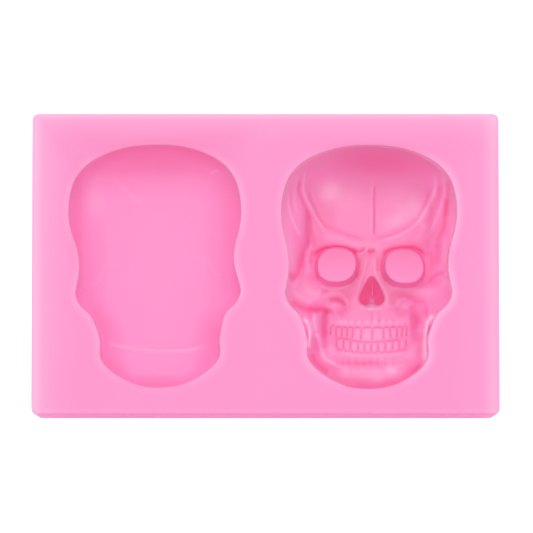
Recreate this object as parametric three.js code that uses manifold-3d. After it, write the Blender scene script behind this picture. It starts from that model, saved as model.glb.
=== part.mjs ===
import * as THREE from 'three';
import { mergeVertices } from 'three/addons/utils/BufferGeometryUtils.js';
import Module from 'manifold-3d';

// A silicone casting mould for a small skull: a pink block lying on its back, with two
// open cavities side by side. The left one forms the plain back of the skull, the right
// one its face, cut as a negative: what lies deep here stands out on the cast skull.
// Millimetres, +Z up, origin under the middle of the block, +X along its length and +Y
// towards the crowns of both skulls. Depths are measured down from the top face.

const wasm = await Module();
wasm.setup();

// The block, poured in one piece
const BLOCK_LENGTH = 116;
const BLOCK_WIDTH = 75;
const BLOCK_HEIGHT = 24;
const CORNER_RADIUS = 1.6;
const EDGE_RADIUS = 1.2;
const EDGE_STEPS = 3;

// Where the middle of each cavity lies, and the flat plane between the two halves
const FACE_X = 25.5;
const BACK_X = -27.1;
const BACK_TURN = 1.2;
const WEB_X = 0;

// Outline of the skull from the crown down its right side to the chin: [half width, height]
const OUTLINE = [
  [0, 29.8], [6.4, 29.35], [12.5, 27.6], [17.1, 24.9], [20, 21.5], [21.4, 17.4],
  [21.8, 12.6], [21.3, 8.4], [20.2, 3.9], [19.8, -1], [20.3, -5], [20.7, -7.2],
  [19.9, -9.8], [17.4, -12.6], [16.1, -15.6], [15.3, -18.8], [15.2, -22.8],
  [13.2, -26.1], [9.4, -28.9], [4.8, -30.8], [0, -31.3],
];
const OUTLINE_STEPS = 120;
const BACK_FIT = 0.98;

// A floor runs out this far past the outline, so that it fills its cavity right to the wall
const FLOOR_REACH = 1;

// The face floor, each station as [height, value] from the crown down: its depth along
// the middle line and at the foot of the wall. Its sections give, for some heights, the
// share of that fall against the share of the way out from the middle line to the wall.
const FACE_FLOOR = {
  midline: 1,
  depth: [
    [30.8, 1.6], [29.8, 2.8], [28, 6], [26, 9.2], [24, 11.8], [22, 13.7], [20, 15.1],
    [18, 16], [16, 16.5], [13, 16.8], [10, 16.7], [7.5, 16.2], [5, 15.6], [2, 14.8],
    [-2, 14.2], [-6, 13.8], [-10, 13.8], [-14, 14.2], [-18, 14.6], [-21, 14.6],
    [-23.4, 13.9], [-24.8, 14.3], [-26, 14.8], [-27.4, 14.7], [-28.2, 14], [-29.2, 12.2],
    [-30.2, 9.8], [-31.3, 7], [-32.3, 5.6],
  ],
  foot: [
    [30.8, 1.4], [29.8, 2.2], [29, 3.2], [27.6, 4.6], [25, 6.2], [22, 7], [14, 7.4],
    [2, 8], [-6, 8.6], [-10, 8.4], [-20, 8.4], [-24, 7.6], [-27.5, 6], [-32.3, 4.4],
  ],
  sections: [
    [-28, [[0, 1], [0.45, 0.98], [0.6, 0.88], [0.7, 0.7], [0.8, 0.44], [0.9, 0.18], [1, 0]]],
    [-25.5, [[0, 1], [0.5, 0.98], [0.6, 0.9], [0.7, 0.7], [0.78, 0.46], [0.86, 0.26],
      [0.93, 0.12], [1, 0]]],
    [-22.5, [[0, 1], [0.4, 0.96], [0.62, 0.9], [0.74, 0.79], [0.8, 0.66], [0.86, 0.44],
      [0.925, 0.16], [1, 0]]],
    [-16, [[0, 1], [0.25, 0.98], [0.45, 0.9], [0.56, 0.78], [0.66, 0.58], [0.76, 0.36],
      [0.86, 0.14], [1, 0]]],
    [-6, [[0, 1], [0.3, 0.97], [0.6, 0.82], [0.8, 0.55], [0.93, 0.28], [1, 0]]],
    [2, [[0, 1], [0.4, 0.93], [0.6, 0.82], [0.74, 0.67], [0.81, 0.43], [0.86, 0.23],
      [0.91, 0.12], [1, 0]]],
    [8, [[0, 1], [0.45, 0.94], [0.585, 0.85], [0.675, 0.63], [0.72, 0.42], [0.765, 0.28],
      [0.81, 0.18], [0.855, 0.12], [1, 0]]],
    [14, [[0, 1], [0.35, 0.97], [0.44, 0.9], [0.53, 0.79], [0.61, 0.66], [0.66, 0.56],
      [0.7, 0.42], [0.75, 0.3], [0.83, 0.19], [0.92, 0.11], [1, 0]]],
    [21, [[0, 1], [0.3, 0.95], [0.5, 0.83], [0.65, 0.65], [0.78, 0.43], [0.9, 0.18], [1, 0]]],
    [28, [[0, 1], [0.3, 0.95], [0.6, 0.72], [0.85, 0.32], [1, 0]]],
  ],
};

// Broad forms of the face, rising (+) or sunk (-) from that floor: the space behind the
// teeth, the fossae beside the nose and the orbits stand high in the mould, and the
// cheekbones lie deep
const FACE_FORMS = [
  { x: -12.6, y: -14.4, rx: 2.2, ry: 5, rise: 2.4, turn: -4, power: 4 },
  { x: 13.2, y: -13.6, rx: 2, ry: 4.6, rise: 2.6, turn: 6, power: 4 },
  { x: -7.6, y: -9.8, rx: 2.4, ry: 1.9, rise: 1.4, turn: -24, power: 2.6 },
  { x: 9.8, y: -9.6, rx: 2.7, ry: 2, rise: 1.3, turn: 16, power: 2.6 },
  { x: -10.2, y: -0.6, rx: 4.6, ry: 4.2, rise: 2.2, turn: 0, power: 3.2 },
  { x: 12, y: -0.6, rx: 4.8, ry: 4.4, rise: 2.2, turn: 0, power: 3.2 },
  { x: -15.2, y: -5.6, rx: 3.4, ry: 2.6, rise: -0.9, turn: 12, power: 2.4 },
  { x: 15.6, y: -5.6, rx: 4.2, ry: 2.2, rise: -0.9, turn: -4, power: 2.4 },
];

// Long narrow ridges (+) and channels (-): the forehead's arcs and seam, the brows and
// the lower rims of the orbits
const FACE_LINES = [
  { rise: -0.5, width: 0.8, path: [[-16.3, 22], [-16.1, 18.4], [-15.1, 16.2], [-13.8, 13.6],
    [-12.6, 11.5], [-11.2, 9.6], [-8.6, 8.2], [-4, 7.4], [0.6, 6.8]] },
  { rise: -0.5, width: 0.8, path: [[17.3, 23], [17.2, 18.4], [15.9, 15.7], [14.5, 13],
    [12.8, 10.6], [10.4, 8.9], [8, 7.9], [4, 7.2], [0.6, 6.8]] },
  { rise: 0.4, width: 0.6, path: [[1.9, 22], [1.9, 14], [1.85, 7.4]] },
  { rise: -0.8, width: 0.9, path: [[-14.5, -7.6], [-10, -5.6], [-5, -4.6]] },
  { rise: -0.8, width: 0.9, path: [[18.5, -4.6], [12, -5.9], [6, -5.2]] },
];
const LINE_STEPS = 24;

// Teeth are pits in the floor with a thin fin left standing between neighbours
const TEETH = {
  gaps: {
    upper: [-9.3, -7.9, -6.4, -5.05, -3.65, -1.6, 1.1, 3.9, 5.8, 7.5, 8.8, 10],
    lower: [-7.8, -6, -4.2, -2.3, -0.7, 1, 2.7, 4.55, 6.4, 8.1, 9.8],
  },
  gumLine: -14.85,
  biteLine: -18.6,
  chinLine: -21.2,
  archRise: 0.012,
  fin: 0.3,
  sink: 0.6,
  clear: 1.5,
  taper: 0.82,
};

// Posts that stand in the face cavity and leave its eye sockets, and the boss that
// leaves the nose opening. Each stands on a stub of the floor, face to face.
const EYE = { rx: 4.82, ry: 4.18, power: 2.6, top: 6.6, seat: 8.8, draft: 10, edge: 0.3 };
const EYE_PLACES = { left_eye_post: [-7.7, 0.2], right_eye_post: [8.93, -0.15] };
const EYE_SIDES = 32;
const NOSE = {
  place: [1.05, -5.9],
  half: [[0, 3.7], [0.9, 3], [1.7, 1.6], [2.5, -0.2], [3, -1.9], [2.6, -3.1],
    [1.5, -3.75], [0.5, -3.5], [0, -3.15]],
  sides: 32,
  seat: 13,
  crest: 7.6,
  crestWidth: 0.12,
  crestLength: 0.5,
};
const STUB_DEPTH = 18;

// The back floor: a shallow even bowl with the jaw set one step higher
const BACK_FLOOR = {
  midline: 0,
  depth: [
    [30.8, 2.2], [29.8, 3.6], [28.2, 5.8], [26, 7.8], [22.5, 9.3], [18, 10], [8, 10.4],
    [-8, 10.4], [-18, 10], [-26, 9.4], [-29, 7.9], [-31.3, 4.4], [-32.3, 2.2],
  ],
  foot: [[31, 2.2], [-32.3, 2.2]],
  sections: [
    [-31, [[0, 1], [0.5, 0.93], [0.7, 0.72], [0.85, 0.44], [0.95, 0.2], [1, 0]]],
    [0, [[0, 1], [0.6, 0.98], [0.75, 0.88], [0.87, 0.66], [0.95, 0.38], [1, 0]]],
    [30, [[0, 1], [0.5, 0.93], [0.7, 0.72], [0.85, 0.44], [0.95, 0.2], [1, 0]]],
  ],
};
const JAW_STEP = { height: -20.9, curl: 0.006, rise: 1, width: 0.5 };

// How finely each floor is laid out
const FACE_STEP = 0.95;
const BACK_STEP = 1.7;
const BLOCK_SIDES = 5;
const ENDS_WIDTH = 5;
const LEAST_REACH = 0.1;
const SAME_POINT = 1e-5;
const CLEAR_ABOVE = 2;

const silicone = (color) => new THREE.MeshStandardMaterial({
  color, roughness: 0.5, metalness: 0,
});
const PINK = 0xff9bd1;

// Through [place, value] stations: a smooth curve that never swings past them
function through(stations) {
  const points = [...stations].sort((a, b) => a[0] - b[0]);
  const last = points.length - 1;
  const secant = (i) => (points[i + 1][1] - points[i][1]) / (points[i + 1][0] - points[i][0]);
  const slopes = points.map((_, i) => {
    if (i === 0 || i === last) return secant(i === 0 ? 0 : last - 1);
    const before = secant(i - 1);
    const after = secant(i);
    return before * after > 0 ? 2 * before * after / (before + after) : 0;
  });
  return (place) => {
    if (place <= points[0][0]) return points[0][1];
    if (place >= points[last][0]) return points[last][1];
    let i = 0;
    while (place > points[i + 1][0]) i += 1;
    const span = points[i + 1][0] - points[i][0];
    const t = (place - points[i][0]) / span;
    const rest = 1 - t;
    return points[i][1] * rest * rest * (1 + 2 * t) + slopes[i] * span * t * rest * rest
      + points[i + 1][1] * t * t * (3 - 2 * t) - slopes[i + 1] * span * t * t * rest;
  };
}

// A closed curve through the right half of an outline and its mirror image
function mirroredCurve(half) {
  const left = half.slice(1, -1).reverse().map(([x, y]) => [-x, y]);
  const points = [...half, ...left].map(([x, y]) => new THREE.Vector3(x, y, 0));
  return new THREE.CatmullRomCurve3(points, true);
}

// The skull outline, drawn in across by a share and grown outwards by a margin
function outlinePoints(fit, grow = 0) {
  const [crown, chin] = [OUTLINE[0][1], OUTLINE[OUTLINE.length - 1][1]];
  const across = fit * (1 + grow / Math.max(...OUTLINE.map(([width]) => width)));
  const along = 1 + grow * 2 / (crown - chin);
  return mirroredCurve(OUTLINE.map(([width, height]) => [width * across, height * along]))
    .getPoints(OUTLINE_STEPS).slice(0, -1);
}

// The outline's half width at each height, read off its right side
function widthAt(fit, grow) {
  const right = outlinePoints(fit, grow).filter((point) => point.x >= 0);
  return through(right.map((point) => [point.y, point.x]));
}

function raise(x, y, form) {
  const turn = THREE.MathUtils.degToRad(form.turn);
  const along = ((x - form.x) * Math.cos(turn) + (y - form.y) * Math.sin(turn)) / form.rx;
  const across = ((y - form.y) * Math.cos(turn) - (x - form.x) * Math.sin(turn)) / form.ry;
  return form.rise * Math.exp(-(Math.abs(along) ** form.power) - Math.abs(across) ** form.power);
}

function distanceTo(points, x, y) {
  let nearest = Infinity;
  for (let i = 0; i < points.length - 1; i += 1) {
    const [a, b] = [points[i], points[i + 1]];
    const [dx, dy] = [b.x - a.x, b.y - a.y];
    const t = THREE.MathUtils.clamp(((x - a.x) * dx + (y - a.y) * dy) / (dx * dx + dy * dy), 0, 1);
    nearest = Math.min(nearest, Math.hypot(x - a.x - t * dx, y - a.y - t * dy));
  }
  return nearest;
}

// How much a section counts at a place that lies so many sections away from it
function nearness(away) {
  if (away < 0.5) return 0.75 - away ** 2;
  return Math.max(1.5 - away, 0) ** 2 / 2;
}

// A floor that falls from the foot of its wall to its middle line and rises again
function bowl(floor, fit) {
  const halfWidth = widthAt(fit, FLOOR_REACH);
  const depth = through(floor.depth);
  const foot = through(floor.foot);
  const shapes = floor.sections.map(([, shape]) => through(shape));
  const heights = floor.sections.map(([height]) => height);
  const last = heights.length - 1;
  const levelAt = (y) => {
    const i = heights.findIndex((height) => height > y);
    if (i <= 0) return i < 0 ? last - 0.5 : 0.5;
    const level = i - 1 + (y - heights[i - 1]) / (heights[i] - heights[i - 1]);
    return THREE.MathUtils.clamp(level, 0.5, last - 0.5);
  };
  return (x, y) => {
    const side = Math.sign(x - floor.midline) || 1;
    const reach = Math.max(halfWidth(y) - side * floor.midline, LEAST_REACH);
    const share = Math.min(Math.abs(x - floor.midline) / reach, 1);
    const level = levelAt(y);
    const fall = shapes.reduce((sum, shape, i) => (
      sum + nearness(Math.abs(level - i)) * shape(share)), 0);
    return foot(y) + (depth(y) - foot(y)) * fall;
  };
}

function faceDepth() {
  const floor = bowl(FACE_FLOOR, 1);
  const lines = FACE_LINES.map((line) => ({
    ...line,
    points: new THREE.SplineCurve(line.path.map(([x, y]) => new THREE.Vector2(x, y)))
      .getPoints(LINE_STEPS),
  }));
  return (x, y) => {
    const forms = FACE_FORMS.reduce((sum, form) => sum + raise(x, y, form), 0);
    const ridges = lines.reduce((sum, line) => (
      sum + line.rise * Math.exp(-((distanceTo(line.points, x, y) / line.width) ** 2))), 0);
    return floor(x, y) - forms - ridges;
  };
}

function backDepth() {
  const floor = bowl(BACK_FLOOR, BACK_FIT);
  return (x, y) => {
    const below = JAW_STEP.height + JAW_STEP.curl * x * x - y;
    const share = THREE.MathUtils.smoothstep(below, -JAW_STEP.width, JAW_STEP.width);
    return floor(x, y) - JAW_STEP.rise * share;
  };
}

function solid(geometry) {
  const bare = geometry.clone();
  bare.deleteAttribute('normal');
  bare.deleteAttribute('uv');
  const merged = mergeVertices(bare, SAME_POINT);
  return new wasm.Manifold(new wasm.Mesh({
    numProp: 3,
    vertProperties: new Float32Array(merged.attributes.position.array),
    triVerts: new Uint32Array(merged.index.array),
  }));
}

function geometryOf(manifold) {
  const mesh = manifold.getMesh();
  const geometry = new THREE.BufferGeometry();
  geometry.setAttribute('position', new THREE.BufferAttribute(mesh.vertProperties, 3));
  geometry.setIndex(new THREE.BufferAttribute(mesh.triVerts, 1));
  geometry.computeVertexNormals();
  return geometry;
}

// A closed solid through level rings of equally many points, listed from the bottom up
function loft(rings) {
  const sides = rings[0].length;
  const positions = rings.flat().flatMap((point) => [point.x, point.y, point.z]);
  const index = [];
  for (let level = 0; level < rings.length - 1; level += 1) {
    for (let i = 0; i < sides; i += 1) {
      const a = level * sides + i;
      const b = level * sides + (i + 1) % sides;
      index.push(a, b, b + sides, a, b + sides, a + sides);
    }
  }
  [rings[0], rings[rings.length - 1]].forEach((ring, isTop) => {
    const centre = positions.length / 3;
    const middle = ring.reduce((sum, point) => sum.add(point), new THREE.Vector3())
      .divideScalar(sides);
    positions.push(middle.x, middle.y, middle.z);
    const start = isTop ? (rings.length - 1) * sides : 0;
    for (let i = 0; i < sides; i += 1) {
      const pair = [start + i, start + (i + 1) % sides];
      index.push(...(isTop ? pair : pair.reverse()), centre);
    }
  });
  const geometry = new THREE.BufferGeometry();
  geometry.setAttribute('position', new THREE.Float32BufferAttribute(positions, 3));
  geometry.setIndex(index);
  return geometry;
}

function eyeRing(depth, grow) {
  return Array.from({ length: EYE_SIDES }, (_, i) => {
    const angle = i / EYE_SIDES * Math.PI * 2;
    const round = (value) => Math.sign(value) * Math.abs(value) ** (2 / EYE.power);
    return new THREE.Vector3((EYE.rx + grow) * round(Math.cos(angle)),
      (EYE.ry + grow) * round(Math.sin(angle)), BLOCK_HEIGHT - depth);
  });
}

const eyeGrowth = (depth) => (depth - EYE.top) * Math.tan(THREE.MathUtils.degToRad(EYE.draft));

const eyeStub = () => loft([STUB_DEPTH, EYE.seat].map((depth) => eyeRing(depth, eyeGrowth(depth))));

const eyePost = () => loft([
  eyeRing(EYE.seat, eyeGrowth(EYE.seat)),
  eyeRing(EYE.top + EYE.edge, eyeGrowth(EYE.top + EYE.edge)),
  eyeRing(EYE.top, -EYE.edge),
]);

// The nose boss narrows from its pear-shaped foot to a roof-like crest
function noseRing(depth) {
  const share = (NOSE.seat - depth) / (NOSE.seat - NOSE.crest);
  const across = 1 - share * (1 - NOSE.crestWidth);
  const along = 1 - share * (1 - NOSE.crestLength);
  return mirroredCurve(NOSE.half).getPoints(NOSE.sides).slice(0, -1).reverse()
    .map((point) => new THREE.Vector3(point.x * across, point.y * along, BLOCK_HEIGHT - depth));
}

const noseStub = () => loft([noseRing(STUB_DEPTH), noseRing(NOSE.seat)]);

const noseBoss = () => loft([noseRing(NOSE.seat), noseRing(NOSE.crest)]);

function blockGeometry() {
  const [w, d, r] = [BLOCK_LENGTH / 2, BLOCK_WIDTH / 2, CORNER_RADIUS];
  const shape = new THREE.Shape();
  shape.moveTo(w, -d + r);
  shape.absarc(w - r, d - r, r, 0, Math.PI / 2);
  shape.absarc(-w + r, d - r, r, Math.PI / 2, Math.PI);
  shape.absarc(-w + r, -d + r, r, Math.PI, Math.PI * 1.5);
  shape.absarc(w - r, -d + r, r, Math.PI * 1.5, Math.PI * 2);
  return new THREE.ExtrudeGeometry(shape, {
    depth: BLOCK_HEIGHT - EDGE_RADIUS * 2,
    bevelThickness: EDGE_RADIUS,
    bevelSize: EDGE_RADIUS,
    bevelOffset: -EDGE_RADIUS,
    bevelSegments: EDGE_STEPS,
    curveSegments: BLOCK_SIDES,
  }).translate(0, 0, EDGE_RADIUS);
}

// A box over the whole cavity whose underside is pressed into the shape of its floor. Its
// columns lean with the outline, so that the steep sides fall along them.
function floorBox(depthAt, fit, step) {
  const halfWidth = widthAt(fit, FLOOR_REACH);
  const widest = fit * Math.max(...OUTLINE.map(([width]) => width));
  const [crown, chin] = [OUTLINE[0][1] + FLOOR_REACH, OUTLINE[OUTLINE.length - 1][1] - FLOOR_REACH];
  const box = new THREE.BoxGeometry(2, crown - chin, 1,
    Math.ceil(2 * widest / step), Math.ceil((crown - chin) / step), 1);
  const position = box.attributes.position;
  for (let i = 0; i < position.count; i += 1) {
    const y = position.getY(i) + (crown + chin) / 2;
    const x = position.getX(i) * Math.max(halfWidth(y), ENDS_WIDTH);
    const z = position.getZ(i) < 0 ? BLOCK_HEIGHT - depthAt(x, y) : BLOCK_HEIGHT + CLEAR_ABOVE;
    position.setXYZ(i, x, y, z);
  }
  return box;
}

function outlinePrism(fit) {
  const shape = new THREE.Shape(outlinePoints(fit).map(({ x, y }) => new THREE.Vector2(x, y)));
  return new THREE.ExtrudeGeometry(shape, { depth: BLOCK_HEIGHT, bevelEnabled: false })
    .translate(0, 0, CLEAR_ABOVE / 2);
}

function toothPits(depthAt) {
  const { gaps, gumLine, biteLine, chinLine, archRise, fin, sink, clear, taper } = TEETH;
  const rows = [[gaps.upper, gumLine, biteLine, 0], [gaps.lower, biteLine, chinLine, archRise]];
  return rows.flatMap(([row, upper, lower, topRise]) => row.slice(1).map((right, i) => {
    const left = row[i];
    const x = (left + right) / 2;
    const arch = (x - FACE_FLOOR.midline) ** 2;
    const y = [upper + topRise * arch, lower + archRise * arch];
    const middle = (y[0] + y[1]) / 2;
    const pit = new THREE.BoxGeometry(right - left - fin, y[0] - y[1] - fin, sink + clear);
    const position = pit.attributes.position;
    for (let k = 0; k < position.count; k += 1) {
      if (position.getZ(k) < 0) {
        position.setXY(k, position.getX(k) * taper, position.getY(k) * taper);
      }
    }
    return pit.translate(x, middle, BLOCK_HEIGHT - depthAt(x, middle) + (clear - sink) / 2);
  }));
}

function faceCavity() {
  const depthAt = faceDepth();
  let cavity = solid(floorBox(depthAt, 1, FACE_STEP)).intersect(solid(outlinePrism(1)));
  for (const pit of toothPits(depthAt)) cavity = cavity.add(solid(pit));
  for (const [x, y] of Object.values(EYE_PLACES)) {
    cavity = cavity.subtract(solid(eyeStub().translate(x, y, 0)));
  }
  const [x, y] = NOSE.place;
  return cavity.subtract(solid(noseStub().translate(x, y, 0)));
}

function backCavity() {
  const floor = solid(floorBox(backDepth(), BACK_FIT, BACK_STEP));
  return floor.intersect(solid(outlinePrism(BACK_FIT)));
}

function halfBlock(side) {
  const reach = BLOCK_LENGTH;
  const box = new THREE.BoxGeometry(reach, reach, reach)
    .translate(WEB_X + side * reach / 2, 0, 0);
  return solid(blockGeometry()).intersect(solid(box));
}

function part(name, geometry) {
  const mesh = new THREE.Mesh(geometry, silicone(PINK));
  mesh.name = name;
  return mesh;
}

// The block's two halves, poured together and met here on the flat plane of the web
const faceHalf = halfBlock(1).subtract(faceCavity().translate([FACE_X, 0, 0]));
const backHalf = halfBlock(-1)
  .subtract(backCavity().rotate([0, 0, BACK_TURN]).translate([BACK_X, 0, 0]));

// The cores, each standing on the flat top of its stub
const faceCores = new THREE.Group();
faceCores.position.x = FACE_X;
for (const [name, place] of Object.entries(EYE_PLACES)) {
  const post = part(name, eyePost());
  post.position.set(...place, 0);
  faceCores.add(post);
}
const boss = part('nose_boss', noseBoss());
boss.position.set(...NOSE.place, 0);
faceCores.add(boss);

const mould = new THREE.Group();
mould.add(
  part('face_mould_half', geometryOf(faceHalf)),
  part('back_mould_half', geometryOf(backHalf)),
  faceCores,
);

export default mould;
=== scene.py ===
import math

import bmesh
import bpy
import numpy as np
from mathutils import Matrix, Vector


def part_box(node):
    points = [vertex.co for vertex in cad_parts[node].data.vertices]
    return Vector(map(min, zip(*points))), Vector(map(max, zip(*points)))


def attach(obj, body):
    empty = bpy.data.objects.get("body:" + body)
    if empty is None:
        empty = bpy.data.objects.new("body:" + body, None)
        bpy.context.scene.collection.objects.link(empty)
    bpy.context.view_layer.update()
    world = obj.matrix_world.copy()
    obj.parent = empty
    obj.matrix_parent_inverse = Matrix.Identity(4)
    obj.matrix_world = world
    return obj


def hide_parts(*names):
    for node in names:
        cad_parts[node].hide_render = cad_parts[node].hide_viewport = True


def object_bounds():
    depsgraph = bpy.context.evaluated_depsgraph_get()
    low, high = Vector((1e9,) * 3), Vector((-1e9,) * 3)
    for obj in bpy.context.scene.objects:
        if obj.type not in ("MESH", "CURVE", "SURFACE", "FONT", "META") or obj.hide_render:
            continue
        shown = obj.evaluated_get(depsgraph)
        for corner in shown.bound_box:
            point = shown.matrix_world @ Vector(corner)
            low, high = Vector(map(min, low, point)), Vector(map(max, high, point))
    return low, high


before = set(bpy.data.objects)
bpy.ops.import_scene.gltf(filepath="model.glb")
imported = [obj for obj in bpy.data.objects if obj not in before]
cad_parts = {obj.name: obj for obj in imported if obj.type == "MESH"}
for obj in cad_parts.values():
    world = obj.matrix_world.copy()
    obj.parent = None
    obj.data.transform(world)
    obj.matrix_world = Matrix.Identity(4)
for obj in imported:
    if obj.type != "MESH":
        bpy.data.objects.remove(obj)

# A pink silicone mould block with two open cavities: the plain back of a small skull on
# the left and its face, cut as a negative, on the right. The settings are in millimetres,
# with depths below the top face; the mesh is in metres.

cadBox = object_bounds()
mm = 0.001
blockSize = (cadBox[1] - cadBox[0]) / mm
topHeight = cadBox[1].z / mm


# Selecting and editing

def only(piece):  # this piece alone is selected and active
    bpy.ops.object.select_all(action="DESELECT")
    piece.select_set(True)
    bpy.context.view_layer.objects.active = piece


def edit(piece, kind="FACE"):
    only(piece)
    bpy.ops.object.mode_set(mode="EDIT")
    bpy.ops.mesh.select_mode(type=kind)


def named(name):  # names the piece that was just added
    made = bpy.context.object
    made.name = name
    return made


def done():
    bpy.ops.object.mode_set(mode="OBJECT")


def pick(piece, kind, wanted):  # in edit mode, selects only these faces, edges or verts
    bpy.ops.mesh.select_all(action="DESELECT")
    shape = bmesh.from_edit_mesh(piece.data)
    shape.normal_update()
    for item in getattr(shape, kind):
        if wanted(item):
            item.select_set(True)
    bmesh.update_edit_mesh(piece.data)


def places(piece):  # vertex positions in millimetres
    found = np.zeros(len(piece.data.vertices) * 3)
    piece.data.vertices.foreach_get("co", found)
    return found.reshape(-1, 3) / mm


def place(piece, points):
    piece.data.vertices.foreach_set("co", (np.asarray(points) * mm).ravel())
    piece.data.update()


def atDepth(loop, depth):
    return np.column_stack([loop, np.full(len(loop), topHeight - depth)])


# Curves and lines

def through(stations):  # a smooth curve through (place, value), never past them
    spot, value = np.array(sorted(stations), float).T
    secant = np.diff(value) / np.diff(spot)
    before, after = secant[:-1], secant[1:]
    both = np.where(before + after == 0, 1, before + after)
    middle = np.where(before * after > 0, 2 * before * after / both, 0)
    slope = np.concatenate([secant[:1], middle, secant[-1:]])

    def at(where):
        where = np.clip(where, spot[0], spot[-1])
        i = np.clip(np.searchsorted(spot, where, side="right") - 1, 0, len(spot) - 2)
        span = spot[i + 1] - spot[i]
        t = (where - spot[i]) / span
        rest = 1 - t
        return (value[i] * rest * rest * (1 + 2 * t) + slope[i] * span * t * rest * rest
                + value[i + 1] * t * t * (3 - 2 * t) - slope[i + 1] * span * t * t * rest)
    return at


def smoothLoop(points, steps):  # a closed curve through points
    points = np.array(points, float)
    share = np.arange(steps) / steps * len(points)
    i = share.astype(int)
    t = (share - i)[:, None]
    a, b, c, d = (points[(i + k) % len(points)] for k in (-1, 0, 1, 2))
    ab, bc, cd = (np.linalg.norm(q - p, axis=1, keepdims=True) ** 0.5
                  for p, q in ((a, b), (b, c), (c, d)))
    start = ((b - a) / ab - (c - a) / (ab + bc) + (c - b) / bc) * bc
    end = ((c - b) / bc - (d - b) / (bc + cd) + (d - c) / cd) * bc
    return (b + start * t + (3 * c - 3 * b - 2 * start - end) * t ** 2
            + (2 * b - 2 * c + start + end) * t ** 3)


def evenly(loop, count):  # a closed curve with its points evenly spaced
    closed = np.vstack([loop, loop[:1]])
    run = np.concatenate([[0], np.cumsum(np.hypot(*np.diff(closed, axis=0).T))])
    want = np.arange(count) / count * run[-1]
    return np.stack([np.interp(want, run, closed[:, k]) for k in (0, 1)], 1)


def mirrored(half):  # one half of an outline and its mirror image
    return half + [(-x, y) for x, y in half[-2:0:-1]]


def grown(loop, by):  # an anticlockwise loop moved outwards by a distance
    along = np.roll(loop, -1, 0) - np.roll(loop, 1, 0)
    out = np.stack([along[:, 1], -along[:, 0]], 1) / np.hypot(*along.T)[:, None]
    return loop + out * by


def ease(low, high, value):
    t = np.clip((value - low) / (high - low), 0, 1)
    return t * t * (3 - 2 * t)


def openCurve(points, steps=10):  # an open curve through points
    points = np.array(points, float)
    if len(points) < 3:
        return points
    ends = np.vstack([2 * points[0] - points[1], points, 2 * points[-1] - points[-2]])
    t = np.arange(steps)[:, None] / steps
    found = [0.5 * (2 * b + (c - a) * t + (2 * a - 5 * b + 4 * c - d) * t ** 2
                    + (3 * b - a - 3 * c + d) * t ** 3)
             for a, b, c, d in zip(ends, ends[1:], ends[2:], ends[3:])]
    return np.vstack(found + [points[-1:]])


def nearLine(x, y, line):  # distance from a line, and the place along it, 0 to 1
    best, along = np.full(x.shape, np.inf), np.zeros(x.shape)
    lengths = np.hypot(*np.diff(line, axis=0).T)
    starts = np.concatenate([[0], np.cumsum(lengths)])
    for k, (a, b) in enumerate(zip(line, line[1:])):
        dx, dy = b - a
        t = np.clip(((x - a[0]) * dx + (y - a[1]) * dy) / lengths[k] ** 2, 0, 1)
        away = np.hypot(x - a[0] - t * dx, y - a[1] - t * dy)
        nearer = away < best
        best = np.where(nearer, away, best)
        along = np.where(nearer, (starts[k] + t * lengths[k]) / starts[-1], along)
    return best, along


# Patches and strokes: how much each point rises, or how much painted highlight or painted shade
# it gets, with a few real scratches and flecks on the back

stroke = {
    "ends": 0.15,  # each stroke dies away over this share of both its ends
    "reach": 3.2,  # and is left out beyond this many widths
}


def form(x, y, rise, at, size, turn=0.0, power=2.0):
    c, s = math.cos(math.radians(turn)), math.sin(math.radians(turn))
    u = ((x - at[0]) * c + (y - at[1]) * s) / size[0]
    v = ((y - at[1]) * c - (x - at[0]) * s) / size[1]
    return rise * np.exp(-(np.abs(u) ** power + np.abs(v) ** power))


def ridge(x, y, path, rise, width):
    line = openCurve(path)
    reach = stroke["reach"] * width
    low, high = line.min(0) - reach, line.max(0) + reach
    near = (x > low[0]) & (x < high[0]) & (y > low[1]) & (y < high[1])
    away, along = nearLine(x[near], y[near], line)
    ends = ease(0, stroke["ends"], along) * ease(0, stroke["ends"], 1 - along)
    found = np.zeros(x.shape)
    found[near] = rise * np.exp(-(away / width) ** 2) * ends
    return found


def drawn(x, y, which, strokes):  # sums one value of the strokes, 0 rise or 1 painted shading
    found = np.zeros(x.shape)
    for *values, width, path in strokes:
        if values[which]:
            found += ridge(x, y, path, values[which], width)
    return found


# The two cavities, in millimetres from the middle of each skull

skull = {
    "outline": [
        (0, 29.65), (6.4, 29.2), (12.5, 27.5), (17.1, 24.9), (20, 21.5), (21.4, 17.4),
        (21.8, 12.6), (21.3, 8.4), (20.2, 3.9), (19.8, -1), (20.3, -5), (20.7, -7.2),
        (19.9, -9.8), (17.4, -12.6), (16.1, -15.6), (15.3, -18.8), (15.3, -22.6),
        (14.6, -24.4), (12.9, -26.4), (9.4, -28.9), (4.8, -30.8), (0, -31.3),
    ],
    "reach": 1.0,  # a floor would run out this far past the outline
    "chin": (-22, -31),  # a chin is lifted between these heights
    "rimSteps": 2400, "floorSteps": 480,
}


def outlineOf(floor):  # anticlockwise from the crown, with its uneven sides
    half = [(-x * floor["fit"], y) for x, y in skull["outline"]]
    x, y = smoothLoop(mirrored(half), skull["rimSteps"]).T
    left, right = (through([(one[0], one[side]) for one in floor["uneven"]]) for side in (1, 2))
    moved = np.where(x < 0, left(y), right(y))
    lifted = floor["chinUp"] * ease(*skull["chin"], y)
    return evenly(np.column_stack([x + moved, y + lifted]), floor["points"])


def halfWidthOf(fit):
    half, grow = skull["outline"], skull["reach"]
    across = fit * (1 + grow / max(x for x, y in half))
    along = 1 + 2 * grow / (half[0][1] - half[-1][1])
    loop = smoothLoop(mirrored([(x * across, y * along) for x, y in half]), skull["floorSteps"])
    right = loop[loop[:, 0] >= 0]
    order = np.argsort(right[:, 1])
    return lambda y: np.interp(y, right[order, 1], right[order, 0])


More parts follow.
